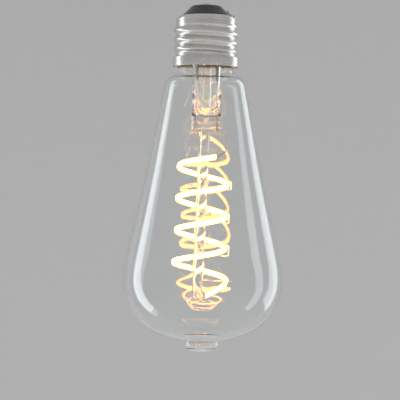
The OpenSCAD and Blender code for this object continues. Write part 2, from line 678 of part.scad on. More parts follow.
// Half a ball of solder round each lead, on the board's front
solder_r = 1;
solder_z = board_foot + 0.9;
module board_solder() {
    color([0.8, 0.8, 0.82]) for (side = [-1, 1]) translate([side * lead_end_x, board_y, solder_z])
        difference() {
            intersection() {
                sphere(r = solder_r);
                translate(solder_r * [-2, -2, -2]) cube(solder_r * [4, 2, 4]);
            }
            translate([0, lead_y - board_y, -2 * solder_r]) cylinder(d = lead_d + seat / 2, h = 4 * solder_r);
        }
}

// The insulated wires from the driver to the cap
centre_wire_y = board_y - cap_wire_d / 2 - seat;
centre_wire_path = eased([[-2, centre_wire_y, board_top - 1.5], [-2, centre_wire_y, board_top - 0.3],
    [0, 0, board_top + 0.1], [0, 0, pin_foot]], 0.8);
module centre_wire() { color([0.75, 0.1, 0.1]) wire(centre_wire_path, cap_wire_d); }

shell_wire_x = lip_r - 1.6;
shell_wire_path = eased([[shell_wire_x - 0.6, lead_y, board_top - 1.8],
    [shell_wire_x - 0.4, lead_y, board_top - 0.9], [shell_wire_x, 0, board_top - 0.5],
    [shell_wire_x, 0, -lip_top + 2.5], [lip_r - 0.1, 0, -lip_top + 0.6],
    [lip_r + 0.7, 0, -lip_top + lead_d / 2 + seat]], 0.4);
module shell_wire() { color([0.75, 0.72, 0.68]) wire(shell_wire_path, lead_d); }

// The solder that joins the shell wire to the bend of the shell
side_solder_r = 1.1;
module side_solder() {
    color([0.8, 0.8, 0.82]) difference() {
        translate([lip_r + 0.9, 0, -lip_top - 0.25]) sphere(r = side_solder_r);
        rotate_extrude() polygon(concat(
            [[0, over], [0, thread_z - over], [thread_root + seat, thread_z - over]],
            [for (i = [bend_rows:-1:0]) [shell_outside[i][1] + seat, shell_outside[i][0] + seat]],
            [[lip_r - 2 * seat, -lip_top + seat], [lip_r - 2 * seat, over]]));
        wire(shell_wire_path, lead_d + 2 * seat);
    }
}

glass_envelope();
stem_flare();
exhaust_tube();
glass_rod();
phosphor_outer();
phosphor_inner();
filament_carrier();
upper_tab();
lower_tab();
upper_lead();
return_lead();
anchor_wires();
seal_wires();
outer_leads();
lead_sleeves();
screw_shell();
cap_insulator();
centre_contact();
contact_pin();
basing_cement();
driver_board();
bridge_rectifier();
driver_chip();
smoothing_capacitor();
capacitor_legs();
fuse_resistor();
fuse_legs();
chip_resistors();
board_solder();
centre_wire();
shell_wire();
side_solder();
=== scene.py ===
"""A clear pear-shaped LED lamp with one spiral filament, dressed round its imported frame."""
import json
import math

import bmesh
import bpy
from mathutils import Matrix, Vector


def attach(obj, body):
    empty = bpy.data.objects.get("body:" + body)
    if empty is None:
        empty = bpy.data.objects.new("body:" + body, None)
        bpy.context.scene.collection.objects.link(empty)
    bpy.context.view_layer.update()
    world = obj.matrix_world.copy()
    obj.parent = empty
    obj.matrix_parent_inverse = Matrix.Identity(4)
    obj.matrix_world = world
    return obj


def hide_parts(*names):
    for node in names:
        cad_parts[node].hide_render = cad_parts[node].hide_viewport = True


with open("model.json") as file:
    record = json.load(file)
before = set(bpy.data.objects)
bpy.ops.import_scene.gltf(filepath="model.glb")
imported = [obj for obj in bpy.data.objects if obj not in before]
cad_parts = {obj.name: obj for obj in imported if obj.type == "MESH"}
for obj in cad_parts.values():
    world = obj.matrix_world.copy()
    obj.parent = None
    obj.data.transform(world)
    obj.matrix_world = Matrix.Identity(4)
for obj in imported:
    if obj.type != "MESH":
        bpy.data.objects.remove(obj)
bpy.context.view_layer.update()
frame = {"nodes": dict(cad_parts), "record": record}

MM = 0.001

# Sizes of the lamp, in millimetres, as in its frame. z = 0 is the contact's face, and names
# that end in _TOP, _END, _TIP or _FOOT are depths below it.
OVERALL_LEN = 140
GLASS_D = 64
GLASS_WALL = 0.8
DOME_H = 24.3
CORNER_R = 22.6
SHOULDER_R = 41.5
FLANK_HOLLOW = 0.4
NECK_D = 22.4
NECK_TOP = 19.5
NECK_HOLLOW_R = 5.2
NECK_ROUND_R = 5
NECK_TURN = 62
NECK_LAP = 0.5           # how far inside the cap's collar the neck's straight part ends
PIP_D = 14.6
PIP_LEN = 4.4
PIP_EDGE_R = 2.4
PIP_END_R = 12
PIP_FILLET_R = 0.6

STEM_D = 11.6
STEM_WALL = 0.9
STEM_SHIFT = 0.7
STEM_END = 42.7
FLARE_H = 7.5
FLARE_LIP = 0.8
PINCH_H = 8.3
PINCH_W = 12
PINCH_T = 5
EXHAUST_D = 4
EXHAUST_BORE = 2.6
EXHAUST_TIP = 15.4
EXHAUST_HOLE = 2.2
EYE_DROP = 3
ROD_D = 3.7
ROD_LEN = 67.4
MOUNT_LEAN = 1.65
MOUNT_SHIFT = 0.3

COIL_R = 10.1
COIL_PITCH = 12.8
COIL_TURNS = 4.026
COIL_START = -64
COIL_DROP = 10.6
STRIP_W = 1.9
STRIP_T = 1.1
END_PULL = 3.3
END_PULL_TURNS = 0.28
END_SPREAD = 0.9
END_SPREAD_TURNS = 1.5
TAB_LEN = 5.6
TAB_W = 1.1
TAB_T = 0.25
TAB_RISE = 2.2
LEAD_D = 0.5
SEAL_GAP = 8.4
ANCHOR_D = 0.34
SEAT = 0.05

CAP_H = 25.5
THREAD_D = 26.2
THREAD_DEPTH = 1.1
THREAD_PITCH = 3.629
COLLAR_D = 26.6
COLLAR_H = 4
SHELL_WALL = 0.35
LIP_TOP = 5
LIP_D = 19.8
CONTACT_D = 10.4
PLATE_TOP = 0.6
PLATE_FOOT = 1.45
PIN_HEAD_D = 5.6
PIN_D = 1.8
PIN_END = 6.1

# The photograph's frame: its scale, and where the lamp's axis stands in it
PX_PER_MM = 2.49
FRAME_PX = 400
VIEW_DISTANCE = 630
DOME_PX = 341.5
AXIS_PX = 203.4
CAMERA_ROLL = 0.9


# Camera
def camera():
    """A level view at the photograph's distance, with its slight roll."""
    seen_mm = FRAME_PX / PX_PER_MM
    data = bpy.data.cameras.new("view")
    data.sensor_width = 36
    data.lens = data.sensor_width * VIEW_DISTANCE / seen_mm
    data.clip_end = 20
    eye = bpy.data.objects.new("view", data)
    bpy.context.collection.objects.link(eye)
    eye_x = (FRAME_PX / 2 - AXIS_PX) / PX_PER_MM
    eye_z = PIP_LEN - OVERALL_LEN + (DOME_PX - FRAME_PX / 2) / PX_PER_MM
    eye.location = (eye_x * MM, -VIEW_DISTANCE * MM, eye_z * MM)
    level = Matrix.Rotation(math.radians(90), 4, "X")
    roll = Matrix.Rotation(math.radians(CAMERA_ROLL), 4, "Z")
    eye.rotation_euler = (level @ roll).to_euler()
    bpy.context.scene.camera = eye


camera()


# Shader tools
class Value:
    """A number or colour in a shader. Sums on it add Math nodes."""

    def __init__(self, shading, socket):
        self.shading, self.socket = shading, socket

    def __add__(self, other):
        return self.shading.maths("ADD", self, other)

    def __radd__(self, other):
        return self.shading.maths("ADD", other, self)

    def __sub__(self, other):
        return self.shading.maths("SUBTRACT", self, other)

    def __rsub__(self, other):
        return self.shading.maths("SUBTRACT", other, self)

    def __mul__(self, other):
        return self.shading.maths("MULTIPLY", self, other)

    def __rmul__(self, other):
        return self.shading.maths("MULTIPLY", other, self)


class Shading:
    """The nodes of one material, lamp or world. main is the node that feed() sets."""

    def __init__(self, owner, main):
        owner.use_nodes = True
        self.nodes, self.links = owner.node_tree.nodes, owner.node_tree.links
        self.main = self.nodes[main]

    def feed(self, **inputs):
        """Sets or links the main node's own sockets: Base_Color stands for Base Color."""
        for name, value in inputs.items():
            self.plug(self.main.inputs[name.replace("_", " ")], value)

    def plug(self, socket, value):
        if isinstance(value, Value):
            self.links.new(value.socket, socket)
        elif socket.type == "RGBA" and len(value) == 3:
            socket.default_value = (*value, 1)
        else:
            socket.default_value = value

    def add(self, kind, settings, *inputs, out=0, **named):
        """Adds any node: its settings first, then its inputs in order or by name."""
        node = self.nodes.new(kind)
        for name, value in settings.items():
            if name == "stops":
                self.set_stops(node.color_ramp, value)
            else:
                setattr(node, name, value)
        for socket, value in zip(node.inputs, inputs):
            self.plug(socket, value)
        for name, value in named.items():
            self.plug(node.inputs[name.replace("_", " ")], value)
        return Value(self, node.outputs[out])

    def set_stops(self, ramp, stops):
        while len(ramp.elements) < len(stops):
            ramp.elements.new(0.5)
        for element, (position, colour) in zip(ramp.elements, stops):
            element.position = position
            element.color = (*colour, 1)

    def maths(self, operation, *terms):
        return self.add("ShaderNodeMath", {"operation": operation}, *terms)

    def ray(self, kind):
        """What sort of ray asks: Is Glossy Ray, Glossy Depth and the like."""
        return self.add("ShaderNodeLightPath", {}, out=kind)


class Finish(Shading):
    """One procedural material on the Principled shader."""

    def __init__(self, name, **constants):
        self.material = bpy.data.materials.new(name)
        super().__init__(self.material, "Principled BSDF")
        self.feed(**constants)
        self.place = self.add("ShaderNodeTexCoord", {}, out="Object")

    def noise(self, scale, detail=3, stretch=(1, 1, 1)):
        """Noise over the piece: scale grains in a metre, more of them along a stretched axis."""
        place = self.add("ShaderNodeMapping", {}, Vector=self.place, Scale=stretch)
        return self.add("ShaderNodeTexNoise", {}, Vector=place, Scale=scale, Detail=detail)

    def blend(self, factor, first, second):
        mix = self.nodes.new("ShaderNodeMix")
        mix.data_type = "RGBA"
        self.plug(mix.inputs[0], factor)
        self.plug(mix.inputs[6], first)
        self.plug(mix.inputs[7], second)
        return Value(self, mix.outputs[2])

    def ramp(self, factor, *stops):
        return self.add("ShaderNodeValToRGB", {"stops": stops}, factor)

    def bump(self, height, depth, strength=1.0):
        """Relief from a height of 0 to 1, depth millimetres deep."""
        self.feed(Normal=self.add("ShaderNodeBump", {}, Strength=strength, Distance=depth * MM,
                                  Height=height))


# Finishes
def grey(level):
    return (level, level, level)


def clear_glass(name, tint, waviness):
    """Polished glass with faint waves from blowing or drawing."""
    finish = Finish(name, Base_Color=tint, Roughness=0.0, IOR=1.5, Transmission_Weight=1.0)
    finish.bump(finish.noise(60, detail=1, stretch=(1, 1, 0.4)), waviness, 0.6)
    return finish.material


# The lit strip's colour from its thin edge to its middle
GLOW = [(0.0, (0.35, 0.11, 0.008)), (0.4, (0.9, 0.4, 0.045)), (1.0, (1.0, 0.48, 0.065))]


def lit_phosphor(name):
    """Glowing silicone: nearly white along its middle, amber at its thin edges."""
    finish = Finish(name, Roughness=0.45, Emission_Strength=28.0)
    across = finish.add("ShaderNodeAttribute", {"attribute_name": "across"}, out="Fac")
    grain = finish.noise(1500, detail=2)
    patches = (grain - 0.5) * 0.12
    finish.feed(Emission_Color=finish.ramp(across + patches, *GLOW),
                Base_Color=finish.blend(grain, (0.9, 0.55, 0.16), (0.95, 0.66, 0.25)))
    finish.bump(grain, 0.05)
    return finish.material


# How much streaks and tarnish change a metal's roughness, and how far tarnish darkens it
STREAK_ROUGH = 0.16
TARNISH_ROUGH = 0.08
TARNISH_DARK = 0.5


def metal(name, light, dark, rough, grain=900, stretch=(1, 1, 1)):
    """Bare metal with drawn or rolled streaks and darker tarnish."""
    finish = Finish(name, Metallic=1.0)
    streaks = finish.noise(grain, detail=4, stretch=stretch)
    tarnish = finish.ramp(finish.noise(140, detail=4), (0.35, grey(0)), (0.75, grey(1)))
    finish.feed(Base_Color=finish.blend(tarnish * TARNISH_DARK, light, dark),
                Roughness=rough + (streaks - 0.5) * STREAK_ROUGH + tarnish * TARNISH_ROUGH)
    finish.bump(streaks, 0.02)
    return finish.material


def plain(name, light, dark, rough, grain, depth, detail=3):
    """Moulded, lacquered or baked stuff with a fine grain and uneven colour."""
    finish = Finish(name)
    fine = finish.noise(grain, detail=detail)
    broad = finish.noise(grain / 8)
    finish.feed(Base_Color=finish.blend(broad, dark, light), Roughness=rough + (fine - 0.5) * 0.15)
    finish.bump(fine, depth)
    return finish.material


DRAWN = (4, 4, 0.3)          # streaks along the wire
ROLLED = (0.2, 0.2, 5)       # streaks round the shell
FINISHES = {
    "bulb_glass": clear_glass("bulb_glass", (0.965, 0.976, 0.973), 0.015),
    "stem_glass": clear_glass("stem_glass", (0.97, 0.985, 0.98), 0.08),
    "phosphor": lit_phosphor("phosphor"),
    "carrier": metal("carrier", (0.72, 0.45, 0.28), (0.4, 0.2, 0.1), 0.35),
    "nickel": metal("nickel", (0.72, 0.7, 0.66), (0.45, 0.42, 0.38), 0.28, stretch=DRAWN),
    "anchor_metal": metal("anchor_metal", (0.85, 0.83, 0.8), (0.6, 0.58, 0.55), 0.22),
    "seal_copper": metal("seal_copper", (0.8, 0.48, 0.38), (0.55, 0.28, 0.2), 0.3),
    "sleeve": plain("sleeve", (0.85, 0.82, 0.72), (0.7, 0.66, 0.55), 0.75, 4000, 0.06),
    "cap_shell": metal("cap_shell", (0.78, 0.77, 0.74), (0.5, 0.48, 0.44), 0.24, 700, ROLLED),
    "cap_glass": plain("cap_glass", (0.02, 0.02, 0.024), (0.008, 0.008, 0.01), 0.12, 700, 0.05),
    "contact_brass": metal("contact_brass", (0.8, 0.6, 0.3), (0.5, 0.33, 0.14), 0.3),
    "nickel_plate": metal("nickel_plate", (0.8, 0.79, 0.77), (0.55, 0.54, 0.5), 0.22),
    "cement": plain("cement", (0.78, 0.74, 0.63), (0.6, 0.55, 0.44), 0.85, 2200, 0.25, detail=6),
    "board": plain("board", (0.05, 0.24, 0.11), (0.02, 0.13, 0.06), 0.35, 3000, 0.03),
    "black_plastic": plain("black_plastic", grey(0.035), grey(0.02), 0.5, 3000, 0.04),
    "can_sleeve": plain("can_sleeve", (0.04, 0.06, 0.13), (0.02, 0.03, 0.08), 0.25, 600, 0.03),
    "tinned_wire": metal("tinned_wire", grey(0.75), grey(0.5), 0.3),
    "resistor_body": plain("resistor_body", (0.1, 0.36, 0.22), (0.05, 0.22, 0.13), 0.3, 1500,
                           0.05),
    "chip_ceramic": plain("chip_ceramic", grey(0.06), grey(0.03), 0.3, 3000, 0.02),
    "solder": metal("solder", (0.74, 0.74, 0.76), (0.5, 0.5, 0.52), 0.25),
    "red_wire": plain("red_wire", (0.55, 0.04, 0.03), (0.4, 0.02, 0.02), 0.4, 2000, 0.03),
}
SLOTS = {row["node"]: row["material_slot"] for row in frame["record"]["subparts"]}


# Modelling tools
def smooth_object(name, bm):
    """Turns a bmesh into a smooth object of the scene."""
    mesh = bpy.data.meshes.new(name)
    bm.to_mesh(mesh)
    bm.free()
    for face in mesh.polygons:
        face.use_smooth = True
    thing = bpy.data.objects.new(name, mesh)
    bpy.context.collection.objects.link(thing)
    return thing


def piece(name, bm, nodes, sharp=35):
    """Turns a bmesh into a finished piece that stands for the given nodes."""
    thing = smooth_object(name, bm)
    thing.data.set_sharp_from_angle(angle=math.radians(sharp))
    slot = SLOTS[nodes[0]]
    thing.data.materials.append(FINISHES[slot])
    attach(thing, "root")
    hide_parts(*nodes)
    return thing


def clean(bm):
    """Welds verts that meet, and turns every face outward."""
    bmesh.ops.remove_doubles(bm, verts=bm.verts, dist=1e-7)
    bmesh.ops.recalc_face_normals(bm, faces=bm.faces)


def turn(bm, outline, steps, closed=False):
    """Turns an outline of (radius, height) points, in millimetres, about the lamp's axis."""
    verts = [bm.verts.new((max(r, 0) * MM, 0, z * MM)) for r, z in outline]
    pairs = list(zip(verts, verts[1:])) + ([(verts[-1], verts[0])] if closed else [])
    edges = [bm.edges.new(pair) for pair in pairs]
    bmesh.ops.spin(bm, geom=verts + edges, axis=(0, 0, 1), cent=(0, 0, 0), dvec=(0, 0, 0),
                   angle=2 * math.pi, steps=steps, use_merge=True)
    clean(bm)


def front_of(made):
    """The new ring of an extrusion: its verts, and the edges that join only those."""
    verts = {v for v in made["geom"] if isinstance(v, bmesh.types.BMVert)}
    edges = [e for e in made["geom"] if isinstance(e, bmesh.types.BMEdge) and set(e.verts) <= verts]
    return verts, edges


def sweep(bm, section, places, across=None):
    """Draws a closed section, flat in X and Z, through a row of places.

    across gives a value from 0 to 1 for each corner of the section, kept along the sweep.
    """
    layer = bm.verts.layers.float.get("across") or bm.verts.layers.float.new("across")
    ring = [bm.verts.new(places[0] @ Vector((x * MM, 0, z * MM))) for x, z in section]
    for vert, value in zip(ring, across or [0] * len(ring)):
        vert[layer] = value
    edges = [bm.edges.new(pair) for pair in zip(ring, ring[1:] + ring[:1])]
    bm.faces.new(ring)
    for before, place in zip(places, places[1:]):
        verts, edges = front_of(bmesh.ops.extrude_edge_only(bm, edges=edges))
        for vert in verts:
            partners = (edge.other_vert(vert) for edge in vert.link_edges)
            vert[layer] = next(partner[layer] for partner in partners if partner not in verts)
        bmesh.ops.transform(bm, matrix=place @ before.inverted(), verts=list(verts))
    bmesh.ops.contextual_create(bm, geom=edges)


def arc(centre, radius, start, end, steps):
    """Points of an arc in (radius, height), between two angles in degrees."""
    angles = [math.radians(start + (end - start) * i / steps) for i in range(steps + 1)]
    return [(centre[0] + radius * math.cos(a), centre[1] + radius * math.sin(a)) for a in angles]


def bar_section(width, depth, corners, roundness=1):
    """A rounded bar's section: round when roundness is 1, squarer below it."""
    points = []
    for k in range(corners):
        a = 2 * math.pi * k / corners
        c, s = math.cos(a), math.sin(a)
        points.append((math.copysign(abs(c) ** roundness, c) * width / 2,
                       math.copysign(abs(s) ** roundness, s) * depth / 2))
    return points


def smooth(t):
    """Rises from 0 to 1 without a corner at either end."""
    t = min(1, max(0, t))
    return t * t * (3 - 2 * t)


def bell(distance, width):
    """1 at no distance, fading to nothing over about twice the width."""
    return math.exp(-(distance / width) ** 2)


def eased(path, cut):
    """A path with each inner corner rounded into a short curve.

    cut is how far from the corner the curve starts, where the runs beside it leave room.
    """
    steps, room = 6, 0.45
    points = [path[0]]
    for before, corner, after in zip(path, path[1:], path[2:]):
        start, end = (corner + (other - corner).normalized()
                      * min(cut, (other - corner).length * room) for other in (before, after))
        for step in range(steps + 1):
            t = step / steps
            points.append(start * (1 - t) ** 2 + corner * 2 * t * (1 - t) + end * t * t)
    return points + [path[-1]]


def along(path, first):
    """Places along a path in millimetres.

    Y heads along it. X starts near first and keeps as near to its last turn as it can.
    """
    side = Vector(first)
    places = []
    for i, point in enumerate(path):
        heading = (path[min(i + 1, len(path) - 1)] - path[max(i - 1, 0)]).normalized()
        side = (side - side.dot(heading) * heading).normalized()
        rotation = Matrix((side, heading, side.cross(heading))).transposed().to_4x4()
        places.append(Matrix.Translation(point * MM) @ rotation)
    return places


def wire(bm, path, d, first=(0, 1, 0), corners=12):
    """Draws a round wire of diameter d along a path."""
    sweep(bm, bar_section(d, d, corners), along(path, first))


# Glass bulb
def bulb_outline():
    """Tangent arcs from the neck, down the flank and round the dome to the pip."""
    glass_r, neck_r, pip_r = GLASS_D / 2, NECK_D / 2, PIP_D / 2
    dome_z = PIP_LEN - OVERALL_LEN
    wide_z = dome_z + DOME_H
    hollow = (neck_r + NECK_HOLLOW_R, NECK_LAP - CAP_H)
    reach, turn_a = NECK_HOLLOW_R + NECK_ROUND_R, math.radians(NECK_TURN)
    bulge = (hollow[0] - reach * math.cos(turn_a), hollow[1] - reach * math.sin(turn_a))
    shoulder = (glass_r - SHOULDER_R, wide_z)
    # The flank is the common tangent of the arcs above and below it, a little hollow
    run = (shoulder[0] - bulge[0], shoulder[1] - bulge[1])
    off_run = math.acos((NECK_ROUND_R - SHOULDER_R) / math.hypot(*run))
    flank_a = math.atan2(run[1], run[0]) + off_run
    flank_deg = math.degrees(flank_a)
    flank_n = Vector((math.cos(flank_a), math.sin(flank_a)))
    top = Vector(bulge) + NECK_ROUND_R * flank_n
    low = Vector(shoulder) + SHOULDER_R * flank_n
    rows = 40
    flank = []
    for i in range(1, rows):
        hollowed = FLANK_HOLLOW * math.sin(math.pi * i / rows) ** 2
        flank.append(tuple(top.lerp(low, i / rows) - flank_n * hollowed))
    # The dome's own radius follows from its height and the corner's radius
    corner = (glass_r - CORNER_R, wide_z)
    dome_r = (corner[0] ** 2 + DOME_H ** 2 - CORNER_R ** 2) / (2 * (DOME_H - CORNER_R))
    dome = (0, dome_z + dome_r)
    dome_a = math.degrees(math.atan2(corner[1] - dome[1], corner[0]))
    fillet_r = pip_r + PIP_FILLET_R
    fillet = (fillet_r, dome[1] - math.sqrt((dome_r + PIP_FILLET_R) ** 2 - fillet_r ** 2))
    fillet_a = math.degrees(math.atan2(fillet[1] - dome[1], fillet[0]))
    end = (0, PIP_END_R - OVERALL_LEN)
    edge_r = pip_r - PIP_EDGE_R
    edge = (edge_r, end[1] - math.sqrt((PIP_END_R - PIP_EDGE_R) ** 2 - edge_r ** 2))
    edge_a = math.degrees(math.atan2(edge[1] - end[1], edge[0]))
    return ([(neck_r, -NECK_TOP)]
            + arc(hollow, NECK_HOLLOW_R, 180, 180 + NECK_TURN, 20)
            + arc(bulge, NECK_ROUND_R, NECK_TURN, flank_deg, 20)
            + flank
            + arc(shoulder, SHOULDER_R, flank_deg, 0, 12)
            + arc(corner, CORNER_R, 0, dome_a, 36)[1:]
            + arc(dome, dome_r, dome_a, fillet_a, 12)[1:]
            + arc(fillet, PIP_FILLET_R, fillet_a + 180, 180, 8)
            + arc(edge, PIP_EDGE_R, 0, edge_a, 12)
            + arc(end, PIP_END_R, edge_a, -90, 10)[1:])


def glass_bulb():
    """Blown glass: its outside, given a wall inward."""
    bm = bmesh.new()
    turn(bm, bulb_outline(), 160)
    thing = piece("glass_bulb", bm, ["glass_envelope"], sharp=180)
    wall = thing.modifiers.new("wall", "SOLIDIFY")
    wall.thickness = GLASS_WALL * MM
    wall.offset = -1
    wall.use_even_offset = True


glass_bulb()

# Glass mount
PINCH_Z = -STEM_END - PINCH_H
# The pinch is flat this far below the tube's end, and this much squarer than an oval
PINCH_RUN = 2.8
PINCH_SQUARE = 1.3
# Its foot is rounded over this height, and ends this much narrower and thinner
PINCH_ROUND = 0.7
PINCH_TUCK = (1.1, 1.8)
# The jaws' marks across the pinch: drop below the tube's end, and how far each stands out.
# The pinch is thinner by the room that they need
PINCH_RIDGES = [(2.9, 0.3), (4.5, -0.5), (5.5, 0.35), (6.4, -0.35), (7.3, 0.3)]
RIDGE_WIDTH = 0.55
RIDGE_ROOM = 0.2
# The tube's closed inner end, in (radius, height) from the tube's end
TUBE_FLOOR = [(0, -0.9), (1.6, -0.8), (3.4, -0.3), (4.5, 0.6)]
# The eye round the exhaust's hole: its depth and its rim's rise, then, in radii of the hole,
# where the rim lies, its width and where the eye ends
EYE_DEPTH, EYE_RISE = 1.9, 0.14
EYE_RIM, EYE_WIDTH, EYE_REACH = 1.35, 0.3, 2.2
# The tube's shift to the side starts and ends this far inside the flare
FLARE_MARGIN = 1
EXHAUST_SEAT = 0.2       # how deep in the pinch the exhaust tube starts
LEAN = (Matrix.Translation((MOUNT_SHIFT * MM, 0, PINCH_Z * MM))
        @ Matrix.Rotation(math.radians(MOUNT_LEAN), 4, "Y"))


def hung(x, y, z):
    """A point of the leaning mount, in millimetres, from the rod's axis and the pinch's foot."""
    return LEAN @ (Vector((x, y, z)) * MM) / MM


def trumpet(lip, tube, top, foot):
    """The flare's outline, from the tube's radius at its foot up to the lip's at its top."""
    steps = 24
    angles = [math.pi / 2 * i / steps for i in range(steps + 1)]
    return [(lip - (lip - tube) * math.cos(a), foot + (top - foot) * math.sin(a)) for a in angles]


def pinch_form(drop):
    """Width, depth and squareness of the pinch at a drop below the tube's end."""
    flat = smooth(drop / PINCH_RUN)
    pressed = sum(rise * bell(drop - at, RIDGE_WIDTH) for at, rise in PINCH_RIDGES) - RIDGE_ROOM
    low = max(0, (drop - PINCH_H + PINCH_ROUND) / PINCH_ROUND)
    rounding = 1 - math.sqrt(max(0, 1 - low ** 2))
    narrower, thinner = (tuck * rounding for tuck in PINCH_TUCK)
    width = STEM_D + (PINCH_W - STEM_D) * flat - narrower
    depth = STEM_D + (PINCH_T - STEM_D + pressed) * flat - thinner
    return width, depth, 2 + PINCH_SQUARE * flat


def stem_glass():
    """The flared tube, drawn down into a flat pinch with the jaws' ridges and the exhaust's eye."""
    neck_r, stem_r = NECK_D / 2, STEM_D / 2
    foot, rim_z = -NECK_TOP - FLARE_H, FLARE_LIP - NECK_TOP
    lip = neck_r - GLASS_WALL
    outside = trumpet(lip, stem_r, -NECK_TOP, foot)[::-1] + [(stem_r, -STEM_END)]
    inside = ([(r, z - STEM_END) for r, z in TUBE_FLOOR]
              + trumpet(lip, stem_r - STEM_WALL, rim_z, foot))
    bm = bmesh.new()
    turn(bm, inside + [(neck_r, rim_z), (neck_r, -NECK_TOP)] + outside, 144)
    rim = [e for e in bm.edges if e.is_boundary]
    rows = 52
    for row in range(1, rows + 1):
        drop = PINCH_H * math.sin(math.pi / 2 * row / rows)
        width, depth, power = pinch_form(drop)
        verts, rim = front_of(bmesh.ops.extrude_edge_only(bm, edges=rim))
        for vert in verts:
            a = math.atan2(vert.co.y, vert.co.x)
            c, s = abs(math.cos(a) * 2 / width), abs(math.sin(a) * 2 / depth)
            r = (c ** power + s ** power) ** (-1 / power)
            vert.co = Vector((r * math.cos(a), r * math.sin(a), -STEM_END - drop)) * MM
    bmesh.ops.contextual_create(bm, geom=rim)
    for vert in bm.verts:
        x, z = vert.co.x / MM, vert.co.z / MM
        reach = math.hypot(x, z + STEM_END + EYE_DROP) / (EXHAUST_HOLE / 2)
        if reach < EYE_REACH and vert.co.y < 0 and z < -STEM_END:
            sunk = EYE_DEPTH * math.exp(-reach ** 4)
            vert.co.y += (sunk - EYE_RISE * bell(reach - EYE_RIM, EYE_WIDTH)) * MM
    for vert in bm.verts:
        fallen = -NECK_TOP - FLARE_MARGIN - vert.co.z / MM
        vert.co.x += STEM_SHIFT * MM * smooth(fallen / (FLARE_H - 2 * FLARE_MARGIN))
    clean(bm)
    return bm


piece("stem", stem_glass(), ["stem_flare"], sharp=60)


def exhaust():
    """A thin tube with a domed, sealed tip."""
    bm = bmesh.new()
    r, bore = EXHAUST_D / 2, EXHAUST_BORE / 2
    low, tip = -STEM_END - EXHAUST_SEAT, (0, -EXHAUST_TIP - r)
    turn(bm, [(bore, low), (r, low)] + arc(tip, r, 0, 90, 12) + arc(tip, bore, 90, 0, 12), 64)
    bmesh.ops.bridge_loops(bm, edges=[e for e in bm.edges if e.is_boundary])
    clean(bm)
    bmesh.ops.translate(bm, vec=(STEM_SHIFT * MM, 0, 0), verts=bm.verts)
    piece("exhaust_tube", bm, ["exhaust_tube"], sharp=50)


exhaust()


def coil_rad(t):
    """The coil's radius at turn t: it spreads a little towards its end."""
    return COIL_R + END_SPREAD * smooth((t - COIL_TURNS + END_SPREAD_TURNS) / END_SPREAD_TURNS)


def coil_z(t):
    """The strip's height at turn t: its very end is pulled down to the tab."""
    pulled = max(0, (t - COIL_TURNS + END_PULL_TURNS) / END_PULL_TURNS)
    return -COIL_DROP - COIL_PITCH * t - END_PULL * pulled ** 2


ANCHOR_TURNS = [k + COIL_START / 360 for k in (1, 2, 3, 4)]
ANCHOR_RISE = STRIP_W / 2 + ANCHOR_D / 2 + 2 * SEAT
# The upper three hooks, from the strip's middle: how far each stands out, how low its foot
# lies, and how far in the foot ends
HOOKS = [(1.3, 2.05, 0.9), (0.95, 2.9, 0.9), (1.35, 3.2, 1.6)]
# The lowest one runs over the strip and out, this far and at this height
STUB_REACH = 2.4
STUB_Z = -0.2
ANCHOR_ROOT = 1.2        # how deep in the rod each anchor starts
ROD_ROUND = 1.2          # the radius round the rod's foot
ROD_GAP = 0.1            # the rod starts this far below the pinch's foot
# The rod's thickening at each anchor and its faint waves: height and width of each
ROD_SWELL, SWELL_WIDTH = 0.14, 0.9
ROD_WAVE, WAVE_WIDTH = 0.03, 3.1


def anchor_run(k):
    """An anchor's bends in (radius, height), from the rod out, height 0 the strip's middle."""
    r = coil_rad(ANCHOR_TURNS[k])
    clear = STRIP_T / 2 + ANCHOR_D / 2 + 2 * SEAT
    root_r = ROD_D / 2 - ANCHOR_ROOT
    if k < len(HOOKS):
        out, drop, inset = HOOKS[k]
        return [(root_r, ANCHOR_RISE), (r + out, ANCHOR_RISE), (r + out, -drop),
                (r - inset, -drop)]
    return [(root_r, STUB_Z), (r - clear, STUB_Z), (r - clear, ANCHOR_RISE),
            (r + clear, ANCHOR_RISE), (r + clear, STUB_Z), (r + STUB_REACH, STUB_Z)]


def rod():
    """Drawn glass with a rounded foot, swollen a little where each anchor is melted in."""
    rod_r, rows, end_rows = ROD_D / 2, 160, 4
    roots = [coil_z(t) + anchor_run(k)[0][1] for k, t in enumerate(ANCHOR_TURNS)]
    foot = (rod_r - ROD_ROUND, ROD_ROUND - ROD_LEN)
    outline = [(0, -ROD_LEN)] + arc(foot, ROD_ROUND, -90, -10, 8)
    for i in range(end_rows, rows - end_rows + 1):
        z = -ROD_LEN + ROD_LEN * i / rows
        swell = sum(ROD_SWELL * bell(z - root, SWELL_WIDTH) for root in roots)
        outline.append((rod_r - ROD_SWELL + swell + ROD_WAVE * math.sin(z / WAVE_WIDTH), z))
    outline += [(rod_r - ROD_GAP, -ROD_GAP), (0, -ROD_GAP)]
    bm = bmesh.new()
    turn(bm, outline, 48)
    bmesh.ops.transform(bm, matrix=LEAN, verts=bm.verts)
    piece("glass_rod", bm, ["glass_rod"], sharp=60)


rod()


# Filament
def coil_place(t):
    """Place of the strip at turn t: X outward, Z up the rod."""
    turned = Matrix.Rotation(math.radians(COIL_START - 360 * t), 4, "Z")
    return LEAN @ turned @ Matrix.Translation((coil_rad(t) * MM, 0, coil_z(t) * MM))


def filament():
    """The lit strip: a flat bar of silicone with full, rounded faces."""
    section = bar_section(STRIP_T, STRIP_W, 20, roundness=0.72)
    across = [math.sqrt(max(0, 1 - abs(z) / (STRIP_W / 2))) for x, z in section]
    steps = 420
    places = [coil_place(COIL_TURNS * i / steps) for i in range(steps + 1)]
    bm = bmesh.new()
    sweep(bm, section, places, across)
    clean(bm)
    piece("filament_coat", bm, ["phosphor_outer", "phosphor_inner", "filament_carrier"], sharp=60)


filament()

